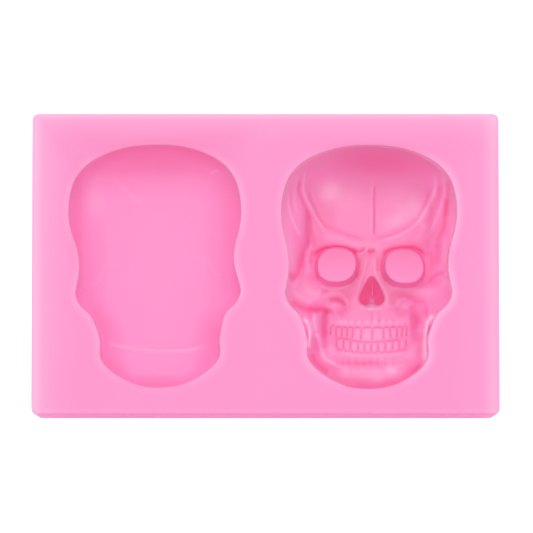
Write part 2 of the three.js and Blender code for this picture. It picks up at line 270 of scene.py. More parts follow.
def blend(away):  # a smooth weight that reaches one and a half sections
    away = np.abs(away)
    return np.where(away < 0.5, 0.75 - away ** 2, 0.5 * np.maximum(1.5 - away, 0) ** 2)


def bowl(floor, x, y):  # depth, from the foot of the wall to the middle line
    foot, depth = through(floor["foot"]), through(floor["depth"])
    levels = np.array([level for level, shape in floor["sections"]])
    shapes = [through([(0, 1), *shape, (1, 0)]) for level, shape in floor["sections"]]
    side = np.where(x < floor["middle"], -1, 1)
    reach = np.maximum(halfWidthOf(floor["fit"])(y) - side * floor["middle"], 0.1)
    share = np.minimum(np.abs(x - floor["middle"]) / reach, 1)
    level = np.clip(np.interp(y, levels, np.arange(len(levels))), 0.5, len(levels) - 1.5)
    rise = sum(blend(level - k) * shape(share) for k, shape in enumerate(shapes))
    return foot(y) + (depth(y) - foot(y)) * rise


face = {
    "x": 25.5, "turn": 0.0,  # where its skull stands on the block
    "points": 960, "span": 200,  # points of the rim and along one side of the grid
    "fit": 1.0,
    "uneven": [  # height, left side moved by, right side moved by
        (-31, 0, 0), (-24, 0, -0.3), (-18, 0, -0.45), (-14, 0, -0.3), (-10, 0, 0), (-6, 0, 0.2),
        (2, 0, 0.05), (12, 0.1, 0.3), (22, 0.2, 0.3), (29, 0.2, 0.2),
    ],
    "chinUp": 0.15,
    "rim": {  # painted glow, four values each, from left to right
        "land": [0.7, 0.15, 0.15, 1.35],  # glow on the land beside the rim
        "jaw": [1.0, 0.5, 0.5, 1.4],  # the same at the jaw
        "foot": [1.0, 0.6, 0.4, 0.5],  # glow at the wall's foot
        "wall": [1.6, 1.5, 1.5, 1.6],  # glow on the upright wall
        "reach": 4.5,  # how far the foot's glow runs inwards
        # painted glow for light through the rubber: strength, reach and share of it left at the
        # crown
        "through": 0.44, "throughReach": 11.0, "throughCrown": 0.3,
    },
    "middle": 1.0,
    "depth": [  # down the middle line, from crown to chin
        (30.8, 0.8), (29.8, 2), (28, 5.7), (26, 9.2), (24, 11.8), (22, 13.7), (20, 15.1),
        (18, 16), (16, 16.5), (13, 16.8), (10, 16.7), (7.5, 16.2), (5, 15.6), (2, 14.8),
        (-2, 14.2), (-6, 13.8), (-10, 13.8), (-14, 14.2), (-18, 14.6), (-21, 14.6),
        (-23.4, 13.9), (-24.8, 14.3), (-26, 14.8), (-27.4, 14.7), (-28.2, 14),
        (-29.2, 12.2), (-30.2, 9.8), (-31.3, 7), (-32.3, 5.6),
    ],
    "foot": [  # at the foot of the wall all round
        (30.8, 0.6), (29.8, 1), (29, 1.9), (27.6, 3.8), (25, 6), (22, 7), (14, 7.4),
        (2, 8), (-6, 8.6), (-10, 8.4), (-20, 8.4), (-24, 7.6), (-27.5, 6), (-32.3, 4.4),
    ],
    "sections": [  # shares of the way out and of the depth, from (0, 1) to (1, 0)
        (-28, [(0.45, 0.98), (0.6, 0.88), (0.7, 0.7), (0.8, 0.44), (0.9, 0.18)]),
        (-25.5, [(0.5, 0.98), (0.6, 0.9), (0.7, 0.7), (0.78, 0.46), (0.86, 0.26), (0.93, 0.12)]),
        (-22.5, [(0.4, 0.96), (0.62, 0.9), (0.74, 0.79), (0.8, 0.66), (0.86, 0.44),
            (0.925, 0.16)]),
        (-16, [(0.25, 0.98), (0.45, 0.9), (0.56, 0.78), (0.66, 0.58), (0.76, 0.36),
            (0.86, 0.14)]),
        (-6, [(0.3, 0.97), (0.6, 0.82), (0.8, 0.55), (0.93, 0.28)]),
        (2, [(0.4, 0.93), (0.6, 0.82), (0.74, 0.67), (0.81, 0.43), (0.86, 0.23), (0.91, 0.12)]),
        (8, [(0.45, 0.94), (0.585, 0.85), (0.675, 0.63), (0.72, 0.42), (0.765, 0.28),
            (0.81, 0.18), (0.855, 0.12)]),
        (14, [(0.35, 0.97), (0.44, 0.9), (0.53, 0.79), (0.61, 0.66), (0.66, 0.56), (0.7, 0.42),
            (0.75, 0.3), (0.83, 0.19), (0.92, 0.11)]),
        (21, [(0.3, 0.95), (0.5, 0.83), (0.65, 0.65), (0.78, 0.43), (0.9, 0.18)]),
        (28, [(0.3, 0.95), (0.6, 0.72), (0.85, 0.32)]),
    ],
    "forms": [  # rise, middle, size, turn, power
        # hollows behind the teeth, cheekbones and the fossae beside the nose
        (2.4, (-12.6, -14.4), (2.2, 5.0), -4, 4),
        (2.6, (13.2, -13.6), (2.0, 4.6), 6, 4),
        (-0.9, (-15.2, -5.6), (3.4, 2.6), 12, 2.4),
        (-0.9, (15.6, -5.6), (4.2, 2.2), -4, 2.4),
        (1.4, (-7.6, -9.8), (2.4, 1.9), -24, 2.6),
        (1.3, (9.8, -9.6), (2.7, 2.0), 16, 2.6),
        # orbits, lower outside
        (2.2, (-10.2, -0.6), (4.6, 4.2), 0, 3.2),
        (2.2, (12.0, -0.6), (4.8, 4.4), 0, 3.2),
    ],
}

# Fine relief of the face: strokes as (rise, shading, width, path) and patches of painted shading
# as (shading, middle, size, turn, power). Shading above 0 is a painted highlight, below 0 painted
# shade.

faceStrokes = [
    # left arc of the forehead: crest, its outer and its inner crease
    (0.25, 0.5, 0.4, [(-15, 25.4), (-15.8, 22), (-16, 20.5), (-15.8, 19), (-15.2, 17.6),
        (-14.6, 16.2), (-13.9, 14.8), (-13.2, 13.5), (-12.4, 12.3), (-11.6, 11), (-10.8, 9.9),
        (-9.8, 9.1), (-8.6, 8.7)]),
    (-0.35, -0.35, 0.5, [(-16.6, 22.5), (-16.9, 20.5), (-16.8, 18.8), (-16.2, 17.2),
        (-15.6, 15.6), (-14.9, 14), (-14.3, 12.4), (-13.6, 11)]),
    (-0.25, -0.2, 0.5, [(-14.6, 20.5), (-14.1, 17.8), (-12.9, 15.4), (-12.2, 13.6), (-11.2, 12),
        (-10, 10.8), (-8, 9.9), (-6, 9.2), (-4, 8.6), (-2, 8), (0.4, 7.5)]),
    # right arc
    (0.25, 0.5, 0.4, [(16, 24), (16.8, 22.5), (17, 21), (16.9, 19.5), (16.4, 18), (15.8, 16.8),
        (15.2, 15.6), (14.6, 14.3), (14, 13.2), (13.2, 12), (12.2, 10.9), (11, 10), (9.6, 9.2),
        (8, 8.4), (6, 7.7), (4, 7.2), (2, 6.8)]),
    (-0.25, -0.2, 0.5, [(15.6, 21), (15.3, 19), (14.5, 16.5), (13.5, 14.5), (12.4, 12.8),
        (11.2, 11.6), (9.8, 10.4), (8, 9.5), (6, 8.8), (4, 8.2), (2, 7.8), (0.6, 7.5)]),
    (-0.3, -0.2, 0.6, [(17.9, 21), (17.8, 19), (17.3, 17.2), (16.7, 15.6), (16.2, 14.2),
        (15.6, 12.8), (14.8, 11.6), (13.8, 10.4)]),
    # seam between them
    (0, 0.25, 0.3, [(1.35, 22), (1.35, 14), (1.3, 7.8)]),
    (0.35, -0.45, 0.24, [(1.9, 22.2), (1.9, 15), (1.85, 7.4)]),
    # right temple
    (0.2, 0.45, 0.4, [(18, 24), (18.8, 22), (19.2, 20), (19.1, 18), (18.8, 16.8), (18.3, 15),
        (17.8, 13.6), (17.2, 12), (16.6, 10.6), (15.9, 9), (15.4, 7.8), (15.2, 7)]),
    (-0.3, -0.35, 0.7, [(19.9, 18), (19.6, 16), (19.3, 13), (18.9, 10), (18, 8), (17.5, 6),
        (17.3, 4.4)]),
    (0.1, 0.25, 0.35, [(14.4, 11.2), (13.9, 10.2), (13.4, 9), (12.8, 8), (11.8, 7.3)]),
    (0.1, 0.25, 0.6, [(19.4, 8), (19.3, 6), (19.2, 4), (19.1, 2), (19, 0.4)]),
    # left temple
    (0.15, 0.3, 0.45, [(-17, 23.5), (-17.9, 19.5), (-18.1, 17), (-17.8, 15), (-17.2, 13.2)]),
    (0.2, 0.5, 0.35, [(-19.6, 20), (-19.7, 17.5), (-19.6, 15.5), (-19.2, 13.6), (-18.7, 12),
        (-18.1, 10.5), (-17.4, 9.2), (-16.8, 8.2), (-16.2, 7.2)]),
    (-0.4, -0.34, 1.1, [(-15.1, 15), (-14.7, 13), (-14.4, 11.4), (-14.3, 10), (-14.4, 8),
        (-14.8, 6), (-15.3, 4.6), (-15.9, 3), (-16.3, 1.5), (-16.8, -0.5), (-17.2, -2.3)]),
    (0.3, 0.45, 0.5, [(-13.4, 6.5), (-14, 5), (-14.6, 3.5), (-15, 2), (-14.9, 0.5), (-14.8, -1),
        (-15, -2.4)]),
    (0.1, 0.25, 0.3, [(-13.3, 11.5), (-13.1, 10.4), (-13, 9)]),
    # brows
    (0.2, 0.24, 0.9, [(-11.5, 7.4), (-9, 8), (-7, 7.8), (-5, 6.9), (-3, 6.3), (-1, 6.2), (1, 6),
        (3, 5.8), (4.6, 5.4)]),
    (0.15, 0.05, 0.5, [(3.4, 6.4), (6, 7), (9, 7.5), (11.6, 7.3), (13.4, 6.5), (14.6, 5.6)]),
    (0.3, 0.35, 0.45, [(0.8, 5.8), (0.2, 4.9), (-0.6, 4.1), (-1.8, 3.6), (-3, 3.8)]),
    (-0.25, -0.65, 0.4, [(-3.9, 5), (-2.8, 4.5), (-1.8, 4.3), (-1.1, 4.6), (-0.7, 5.3)]),
    (-0.25, -0.7, 0.45, [(0.4, 3.9), (1, 4.3), (2.1, 4.4)]),
    (0.25, 0.4, 0.4, [(1.9, 5.2), (2.6, 4.8), (3.4, 4)]),
    # bridge and the nose's rim
    (0.2, 0.3, 0.4, [(0.2, 3.2), (-0.1, 1.5), (-0.6, 0), (-1, -1.5), (-1.4, -3), (-1.9, -4.8),
        (-2.3, -6.4), (-2.6, -8), (-2.3, -9.4), (-1.2, -10.2)]),
    (0.2, 0.45, 0.45, [(1.7, 3.4), (1.9, 1.5), (2, 0), (2.1, -1.4), (2.7, -2.7), (3.4, -4),
        (4.2, -5.4), (4.8, -6.8), (5.1, -8), (4.8, -9.2), (3.8, -10)]),
    (0.2, 0.5, 0.5, [(-2, -9.8), (-0.8, -10.3), (1, -10.4), (2.8, -10.3), (4.2, -9.8)]),
    (-0.2, -0.3, 0.5, [(-1.6, 3), (-1.9, 1), (-2.2, -1), (-2.8, -3)]),
    (-0.2, -0.4, 0.45, [(3, 3), (3, 1.5), (3, 0), (3.2, -1.2)]),
    # eyes: painted shade above and wide on the outer side, a ledge with a painted highlight below
    (0, -1.0, 0.6, [(-13.2, 2.2), (-12.4, 4), (-10.6, 5.1), (-7.7, 5.5), (-5, 5.1), (-3.2, 4),
        (-2.4, 2.2)]),
    (0, -0.3, 0.9, [(-13.8, 2.6), (-14.1, 0.4), (-13.6, -2), (-12.4, -3.8)]),
    (0, -0.35, 0.8, [(-13.4, 4.6), (-13.8, 3.4), (-14, 2), (-13.9, 0.5)]),
    (0, -0.95, 0.6, [(3.8, 2.4), (4.5, 4), (6.1, 4.9), (9, 5.4), (11.9, 5.1), (13.7, 4),
        (14.5, 2.4)]),
    (0, -0.35, 1.1, [(14.9, 4.6), (15.6, 3), (15.9, 1.4), (15.9, 0), (15.6, -1.6), (15, -3)]),
    (0.25, 0.3, 0.4, [(-12.4, -4.3), (-10.8, -5.3), (-9, -5.7), (-7, -5.5), (-5, -4.8),
        (-3.8, -3.9)]),
    (0.2, 0.3, 0.4, [(4.4, -3.2), (5.4, -4.4), (6.8, -5.1), (8.4, -5.3)]),
    # left cheek: a raised rim with a painted highlight, and a hollow with painted shade below it
    (0.3, 0.3, 0.7, [(-16, -3), (-17.4, -4.2), (-18.1, -5.6), (-17.4, -7), (-15.6, -7.8),
        (-14, -8), (-12.8, -7.2), (-11.6, -6.2), (-10.2, -5.9)]),
    (-0.35, -0.55, 1.0, [(-19.4, -8), (-18.2, -9.1), (-16.6, -9.9), (-15, -10.3), (-13, -10.6),
        (-11.2, -10.4), (-10, -11), (-9.3, -12)]),
    (0, -0.6, 1.2, [(-19.6, -2.9), (-18.4, -2.6), (-17.6, -3)]),
    # left fossa
    (0.2, 0.25, 0.4, [(-11.4, -7.4), (-9.6, -6.7), (-7.4, -6.5), (-5.8, -7), (-4.8, -8.4),
        (-4.5, -10)]),
    (-0.2, -0.3, 0.5, [(-11.6, -6.4), (-9.6, -5.8)]),
    (-0.3, -0.5, 0.7, [(-9.8, -8.3), (-8.4, -7.9), (-7, -8.1), (-5.8, -8.9), (-5.4, -10)]),
    (0.15, 0.3, 0.45, [(-9.6, -9.6), (-8.5, -11), (-7.5, -12.4), (-7, -13.4)]),
    # right cheek
    (0.25, 0.2, 0.6, [(6.2, -5), (8, -5.3), (10, -5.7), (12, -6), (14, -6.1), (16, -6),
        (17.5, -5.6), (18.7, -4.8), (19.6, -3.8), (20.2, -2.9)]),
    (-0.3, -0.4, 0.5, [(15.4, -4.4), (16.4, -3), (17.5, -2), (19.4, -1.5)]),
    (0.2, 0.3, 0.45, [(7.3, -10.2), (7.3, -9.2), (7.8, -8.3), (9, -7.8), (10.4, -7.7)]),
    (-0.2, -0.3, 0.6, [(6.2, -9.6), (6, -8.4), (6.4, -7), (8, -6.7), (10, -6.9), (12, -7.2)]),
    (-0.2, -0.25, 0.6, [(11.4, -8.4), (13, -8.4), (14.6, -9)]),
    # rami
    (0.9, 1.6, 0.7, [(16.7, -11.2), (16.2, -12.2), (15.6, -13.4), (15.2, -14.4), (14.8, -15.6),
        (14.4, -16.8), (14.3, -18.2), (14.2, -20), (14.2, -22.4), (13.7, -24.8)]),
    (-0.1, -0.12, 0.4, [(15.9, -14.6), (15.3, -16), (15, -18), (15, -20), (14.9, -22)]),
    (0.9, 1.6, 0.7, [(-16.2, -12.2), (-15.5, -13.6), (-15, -15), (-14.7, -16.6), (-14.6, -18.2),
        (-14.7, -19.8), (-14.8, -21.4)]),
    (0.15, 0.6, 0.45, [(-13.4, -11.4), (-13.1, -14), (-12.8, -16.6)]),
    (0.4, 0.9, 0.6, [(-13, -16.2), (-12.5, -17.4), (-12, -18.6), (-11.7, -20), (-11.1, -21.4),
        (-10.6, -22.6), (-9.4, -23.6), (-8, -24.6), (-6.4, -25.5)]),
    (0, 0.35, 1.0, [(-10, -19.6), (-9, -21), (-8.6, -22.4)]),
    (-0.4, -0.5, 0.9, [(-13.8, -21.4), (-13.4, -23), (-12.4, -24.4), (-11, -25.6),
        (-9.4, -26.6)]),
    (-0.2, -0.3, 0.6, [(13.4, -22.4), (13.2, -24), (12.2, -25.6), (10.8, -27)]),
    (0, 0.35, 1.0, [(12.9, -18.4), (12, -20), (11, -21.6), (10.4, -23.4)]),
    # hollows behind the teeth
    (-0.3, -0.5, 0.9, [(-9.2, -10.4), (-9.8, -11.4), (-10.8, -12.6), (-11, -14), (-10.9, -15.6),
        (-10.5, -17), (-10.2, -18.2)]),
    (-0.3, -0.45, 0.8, [(11, -9), (11.4, -9.8), (12, -11), (11.9, -12.6), (12.2, -14.4),
        (11.6, -16)]),
    (0, -0.35, 1.1, [(13.8, -10.4), (13.6, -11.8), (13.1, -13.2), (12.6, -14.6)]),
    (0, 0.3, 0.6, [(16.4, -12), (15.6, -13.4), (14.6, -14.6)]),
    (0, -0.18, 0.9, [(-15.6, 4), (-16.6, 0.5), (-18, -2.6)]),
    (0, -0.28, 0.7, [(20.2, 22), (20.2, 17), (19.9, 12)]),
    (0, -0.32, 0.9, [(17.6, 6), (17.8, 3.4), (17.6, 0.2)]),
    # chin
    (0, -0.4, 0.9, [(5.8, -29.8), (8.6, -28.4), (11.4, -26.2), (13.4, -24)]),
    (-0.15, -0.1, 0.9, [(-7, -23.4), (-5, -24), (-2, -24.3), (1, -24.2), (3.6, -23.9)]),
    (0.3, 0.45, 1.0, [(-7.6, -24.9), (-6.4, -25.5), (-4, -25.9), (0, -26.1), (4, -26),
        (6.8, -25.8), (8.6, -24.8), (9.4, -23.4)]),
    (0, 0.55, 0.9, [(4.6, -25), (6.4, -25.8), (7.4, -26.6)]),
    (0, 0.45, 0.8, [(-7.4, -24.8), (-5.6, -25.6), (-4.6, -26.2)]),
    (0, -0.3, 0.9, [(-7, -29.2), (-3.6, -30.2), (1, -30.5), (5, -30), (8, -28.6)]),
    (0, -0.25, 0.8, [(-3.6, -29), (0, -29.6), (4, -29.2), (7, -28.4)]),
]

facePatches = [
    # forehead: painted highlights left and right, painted shade under the crown
    (0.75, (-9.2, 19.4), (2.6, 2.4), 20),
    (0.5, (10.8, 14), (3.2, 3), 30),
    (0.4, (7, 11.8), (2.8, 1.7), 20),
    (-0.4, (3, 26.4), (11, 3.4), -4, 2.6),
    (0.3, (-4.8, 17.6), (4.4, 3.4)),
    (0.2, (7.6, 17.8), (3.6, 2.8)),
    (0.28, (13, 15), (1.8, 3.6), 24, 2.4),
    # temples
    (-0.1, (-17.6, 9), (1.9, 3), -6, 2.6),
    (0.2, (-16.4, 10.5), (1.1, 4.5), -10),
    (-0.2, (11.5, 6.2), (3, 0.8), -8),
    (-0.3, (19.4, 9.5), (1.3, 10), 4, 2.6),
    (0.15, (14.8, 10.2), (1.3, 2.4), 20),
    # cheeks
    (0.35, (-15, -5.8), (3.4, 2.4), 0, 3),
    (0.2, (16, -7), (3.4, 1.5), 0, 3),
    (0.35, (19.8, -3.8), (1.2, 2)),
    (-0.2, (-4.4, -8), (1, 1.6)),
    (-0.3, (-5, -6.7), (2.4, 1.4), 20, 2.6),
    (-0.25, (-6.5, -10.6), (2.2, 1)),
    (-0.25, (7.2, -10.4), (2, 1)),
    # chin
    (0.4, (2.4, -28), (2, 1.1)),
    (0.18, (1, -26.8), (9, 2.2), 0, 3),
    (0.3, (6, -24.4), (2.4, 1.2), -14),
    # teeth and gums
    (0.3, (1.6, -16.9), (5, 2.0), 0, 4),
    (0.12, (0.8, -18), (10, 5), 0, 5),
    (0.18, (1.6, -20), (6.5, 1.3), 0, 4),
    (-0.3, (-12.6, -10.8), (2.6, 0.8)),
    (0.5, (1.1, -9.9), (0.7, 1)),
    (0.1, (2, -19.6), (8, 1), 0, 4),
    (-0.25, (-2.2, -8), (0.8, 1.4)),
    (-0.25, (0.6, 3.4), (3, 0.9)),
    (0.12, (-17.6, 13.6), (1.4, 4.6), -6),
]

# Teeth: pits with a thin fin between neighbours, gums and roots. A look is (rise, shading,
# width), with painted shade along the fins, arcs and gum and bite lines, and painted highlights
# on some lines and roots.

teeth = {
    "upper": [(-9.3, -9.3), (-7.9, -7.9), (-6.4, -6.4), (-4.9, -5.2), (-3.4, -3.9), (-1.4, -1.6),
              (1.3, 1.3), (4, 4.2), (5.7, 5.95), (7.5, 7.5), (8.9, 8.75), (10.1, 9.9)],
    "lower": [-7.8, -6, -4.2, -2.3, -0.7, 1, 2.7, 4.55, 6.4, 8.1, 9.8],
    "gum": [(-9.3, -14.4), (-6, -14.75), (1, -14.85), (7, -14.75), (10.1, -14.4)],
    "bite": [(-9.8, -17.2), (-8, -17.5), (-5, -17.9), (-2, -18.5), (1, -18.6), (4, -18.4),
             (8, -18), (10.2, -17.6)],
    "chin": [(-7.8, -20.2), (-7, -20.5), (-5, -20.9), (-3, -21.2), (0, -21.3), (5, -21.2),
             (7, -21), (8.5, -20.7), (9.8, -20.3)],
    "fin": (0.28, -0.65, 0.27),
    "finShort": 0.2,  # a fin ends this far from the line it runs to
    "biteWidth": 1.1,  # times a fin's
    "arcs": [  # over each tooth: ends and middle moved by, look
        (-0.4, 0, (0.25, -0.3, 0.22)),
        (0.35, -0.1, (0.25, -0.55, 0.26)),
    ],
    "lines": [  # along which line, moved up by, look
        ("chin", -0.75, (0.1, 0.3, 0.4)),
        ("gum", 0.8, (0.1, 0.2, 0.45)),
        ("gum", 0, (0.1, -0.2, 0.25)),
    ],
    "uprights": [  # places across, heights, spread of the last one, look
        ([-7.4, -6.1, -4.6, -2.7, -0.95, 0.95, 2.7, 4.6, 6.6], [-22.4, -23.2, -24.6], 1.02,
         (0.1, -0.22, 0.28)),
        ([-4.6, -2.9, -1.3, 3, 4.9, 6.6], [-12.8, -14.3], 1, (0.1, -0.3, 0.25)),
        ([-6.6, -5.3, -4, -2, 0, 2, 4, 5.5], [-13, -14.6], 1, (0.1, 0.25, 0.4)),
        ([1.2], [-10.8, -14.2], 1, (0.1, -0.3, 0.25)),
        ([2], [-10.8, -14.2], 1, (0.1, 0.3, 0.3)),
        ([3], [-10.8, -14.2], 1, (0.1, -0.25, 0.25)),
    ],
}


def teethStrokes():
    rise, shadingAndMarks, width = teeth["fin"]
    gum, bite, chin = (through(teeth[key]) for key in ("gum", "bite", "chin"))
    upper, lower = teeth["upper"], [(x, x) for x in teeth["lower"]]
    found = [(rise, shadingAndMarks, width * teeth["biteWidth"], teeth["bite"])]
    for row, top, bottom in ((upper, gum, bite), (lower, bite, chin)):
        found += [(rise, shadingAndMarks, width, [(high, top(high) - teeth["finShort"]),
                                       (low, bottom(low) + teeth["finShort"])])
                  for high, low in row]
    for row, line, (ends, top, look) in zip((upper, lower), (gum, chin), teeth["arcs"]):
        for (a, _), (b, _) in zip(row, row[1:]):
            middle = (a + b) / 2
            found.append((*look, [(a, line(a) + ends), (middle, line(middle) + top),
                                  (b, line(b) + ends)]))
    for name, up, look in teeth["lines"]:
        found.append((*look, [(x, y + up) for x, y in teeth[name]]))
    for across, heights, spread, look in teeth["uprights"]:
        for x in across:
            path = [(x, y) for y in heights[:-1]] + [(x * spread, heights[-1])]
            found.append((*look, path))
    return found


backEnd = [(0.5, 0.93), (0.7, 0.72), (0.85, 0.44), (0.95, 0.2)]

back = {
    "x": -27.1, "turn": 1.2,
    "points": 720, "span": 150,
    "fit": 0.98,
    "uneven": [
        (-31, 0.5, 0.5), (-24, 0.65, 0.45), (-18, 0.65, 0.4), (-13, 0.5, 0.1), (-6, 0.05, 0.6),
        (2, 0.3, -0.2), (12, -0.2, 0), (29, 0, 0),
    ],
    "chinUp": 0.5,
    "rim": {
        "land": [0.75, 0.3, 0.3, 1.1], "jaw": [0.8, 0.4, 0.4, 0.9],
        "foot": [0.3, 0.1, 0.1, 0.3], "wall": [0.7, 0.5, 0.5, 0.6],
        "reach": 2.4, "through": 0.9, "throughReach": 8.0, "throughCrown": 1.0,
    },
    "middle": 0.0,
    "depth": [
        (30.8, 2.2), (29.8, 3.6), (28.2, 5.8), (26, 7.8), (22.5, 9.3), (18, 10), (8, 10.4),
        (-8, 10.4), (-18, 10), (-26, 9.4), (-29, 7.9), (-31.3, 4.4), (-32.3, 2.2),
    ],
    "foot": [(31, 2.2), (-32.3, 2.2)],
    "sections": [
        (-31, backEnd),
        (0, [(0.6, 0.98), (0.75, 0.88), (0.87, 0.66), (0.95, 0.38)]),
        (30, backEnd),
    ],
    "jaw": {"height": -20.9, "curl": 0.006, "rise": 0.8, "width": 0.9},
}

# The back's floor, in the same form as the face's strokes and patches: a painted highlight along
# the jaw's step, real scratches and flecks, and patches of painted shade by the walls, crown and
# jaw, with one painted highlight

backStrokes = [
    (0, 0.5, 0.5, [(-13.6, -18.4), (-12.9, -18.9), (-9.6, -19.9), (-5.9, -20.6), (0.5, -21.1),
        (7.1, -21.05), (11.9, -20.25), (13.2, -19.8)]),
    (0.02, 0.22, 0.26, [(-10.8, 23), (-9.4, 21.2), (-7.6, 19.6), (-5.4, 17.2), (-3.2, 15.4)]),
    (0.02, 0.2, 0.26, [(-15.1, 3), (-13.3, 0.1), (-15, -3.6), (-17.6, -4.3)]),
    (0.02, 0.16, 0.26, [(-13.3, 0.3), (-11.6, 0.6), (-9.8, 0.2)]),
    (0.02, 0.2, 0.26, [(12.8, 2), (13.6, -0.4), (14.5, -2), (16.2, -3.1)]),
    (0.02, 0.14, 0.26, [(8.6, 1.8), (10.7, 2.1), (12.4, 1.6)]),
    (0.06, 0.4, 0.3, [(13.6, 22.6), (14.8, 23.4), (16.2, 23.2)]),
    (0.06, 0.6, 0.3, [(-19.3, -5.8), (-18.9, -5.8)]),
    (-0.06, -0.5, 0.3, [(17.3, -9.4), (17.6, -9.6)]),
]

backPatches = [
    (0.3, (-15, 16.5), (2.4, 4.5)),
    (-0.3, (1, 27.4), (17, 4.4), 0, 3),
    (-0.1, (0, 21.5), (17, 4)),
    (-0.22, (-19.6, 12), (1.4, 12), -2, 3),
    (-0.14, (18.6, 12), (2.4, 9), 0, 3),
    (-0.14, (-14.4, -12), (1.6, 6), 24, 3),
    (-0.18, (-11, -25), (3.4, 1.6), -34),
    (-0.12, (11.4, -24), (2.4, 1.6), 44),
    (-0.16, (0, -29), (7, 1.4), 0, 3),
    (-0.14, (13.6, -17), (2, 3)),
]

# The posts

eye = {
    "places": {"left_eye_post": (-7.72, 0.2), "right_eye_post": (9.16, -0.14)},
    "across": 4.8, "tall": 4.26, "power": 2.3, "lean": 0.06, "top": 6.6, "seat": 8.8, "draft": 6,
    "edge": 0.3, "edgeSteps": 4, "wallSteps": 6, "around": 160,
    "topRings": (0.2, 0.6, 1.4, 2.6),  # rings on the flat top, inside its edge
    "fillet": 1.6,
    "rounds": 5, "inmost": -3,  # for measuring the distance from an outline
    "stub": (1.4, 0.9),  # the stub's glow starts this far outside
    "topDepths": (1.2, 0.1),  # the top's painted shade starts this far below it
    # painted glow and painted shade on the walls of the posts and their stubs
    "wallGlow": 0.45, "wallShade": -0.18,
    "shadingAndMarks": [-0.05, -0.16, -0.3, -0.5],  # painted shade of its top, darker towards its upper edge, at these shares of its height
    "toneHeights": [-1, -0.6, 0.2, 1],
}

nose = {
    "place": (1.15, -5.9),
    "half": [(0, 3.8), (0.8, 3.2), (1.7, 1.7), (2.6, -0.2), (3.1, -1.8), (2.7, -2.9),
             (1.6, -3.5), (0.7, -3.25), (0, -2.9)],
    "seat": 13.0, "crest": 7.6, "crestHalf": 1.0, "crestWidth": 0.12, "crestLength": 0.5,
    "outlineSteps": 960, "around": 96, "steps": 12,
    # painted shade over the whole boss, deeper towards its crest
    "shadingAndMarks": -0.75, "crestShade": -0.2, "crestFade": 2.0,
    "foot": (1.7, (0, -2.9), (0.6, 1.0)),  # a painted highlight at its lower end
}

eyeSlope = math.tan(math.radians(eye["draft"]))


def eyeLean(at):  # a post's lower half stands further out
    return eye["lean"] if at[0] < 0 else -eye["lean"]


def eyeGap(x, y, at):  # how far a point lies outside a post's top outline
    across, tall, power = eye["across"], eye["tall"], eye["power"]
    u, v = np.abs(x - at[0] - eyeLean(at) * (y - at[1])), np.abs(y - at[1])
    gap = np.zeros(x.shape)
    for _ in range(eye["rounds"]):
        share = ((u / (across + gap)) ** power + (v / (tall + gap)) ** power) ** (1 / power)
        gap = np.maximum(gap + (share - 1) * ((across + tall) / 2 + gap), eye["inmost"])
    return gap


def faceDepth(x, y):  # the ground, with the stubs that the posts stand on
    rise = sum(form(x, y, *one) for one in face["forms"])
    depth = bowl(face, x, y) - rise - drawn(x, y, 0, faceStrokes)
    for at in eye["places"].values():
        wall = eye["top"] + eyeGap(x, y, at) / eyeSlope
        share = np.clip(0.5 + 0.5 * (wall - depth) / eye["fillet"], 0, 1)
        depth = wall * (1 - share) + depth * share - eye["fillet"] * share * (1 - share)
        depth = np.where(wall < eye["seat"], eye["seat"], depth)
    return depth


def faceStubs(x, y):  # 1 on the walls of the stubs
    gaps = [eyeGap(x, y, at) for at in eye["places"].values()]
    return ease(*eye["stub"], np.minimum(*gaps))


def backDepth(x, y):
    jaw = back["jaw"]
    below = jaw["height"] + jaw["curl"] * x * x - y
    rise = jaw["rise"] * ease(-jaw["width"], jaw["width"], below)
    return bowl(back, x, y) - rise - drawn(x, y, 0, backStrokes)


# The block

block = {
    "corner": 1.6, "cornerSteps": 8,  # plan radius of its upright corners
    "edge": 1.2, "edgeSteps": 6,  # rounding of its rims
    "support": 0.25,  # flat band beside each rounding
    "near": 0.05,  # closer points count as level
    "flat": 200,  # square millimetres: only flat sides have more
}


def blockHalf(name, node):  # half of the block, its flat inner end at the web
    low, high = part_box(node)
    outer = low.x if node.startswith("back") else high.x
    bpy.ops.mesh.primitive_cube_add(size=1, location=(low + high) / 2, scale=high - low)
    piece = named(name)
    bpy.ops.object.transform_apply(location=True, rotation=True, scale=True)
    near, flat = block["near"] * mm, block["flat"] * mm * mm

    edit(piece, "EDGE")
    pick(piece, "edges", lambda e: all(abs(v.co.x - outer) < near for v in e.verts)
         and abs(e.verts[0].co.z - e.verts[1].co.z) > near)
    bpy.ops.mesh.bevel(offset=block["corner"] * mm, segments=block["cornerSteps"], affect="EDGES")
    pick(piece, "edges", lambda e: abs(e.verts[0].co.z - e.verts[1].co.z) < near
         and any(abs(v.co.x) > near for v in e.verts))
    bpy.ops.mesh.bevel(offset=block["edge"] * mm, segments=block["edgeSteps"], affect="EDGES")
    pick(piece, "faces", lambda f: f.calc_area() > flat)
    bpy.ops.mesh.inset(thickness=block["support"] * mm, use_individual=True, use_even_offset=True)
    pick(piece, "faces", lambda f: f.normal.z > 0.99 and f.calc_area() > flat)
    bpy.ops.mesh.delete(type="ONLY_FACE")
    done()
    return piece


# A cavity: rings from the flat land over the lip and down the wall, then a grid floor

cavity = {
    "apron": [2.4, 1.8, 1.3, 0.85, 0.5],  # rings on the land, outside the outline
    "inwards": 0.15,  # the lip stands this far inside the outline
    "lipRadius": 0.3, "lipSteps": 4,
    "wall": 0.03, "wallDepth": 1.2,  # the upright wall's width and lower end
    "nearWall": [0.12, 0.16, 0.2, 0.24],  # rings beside the wall
}


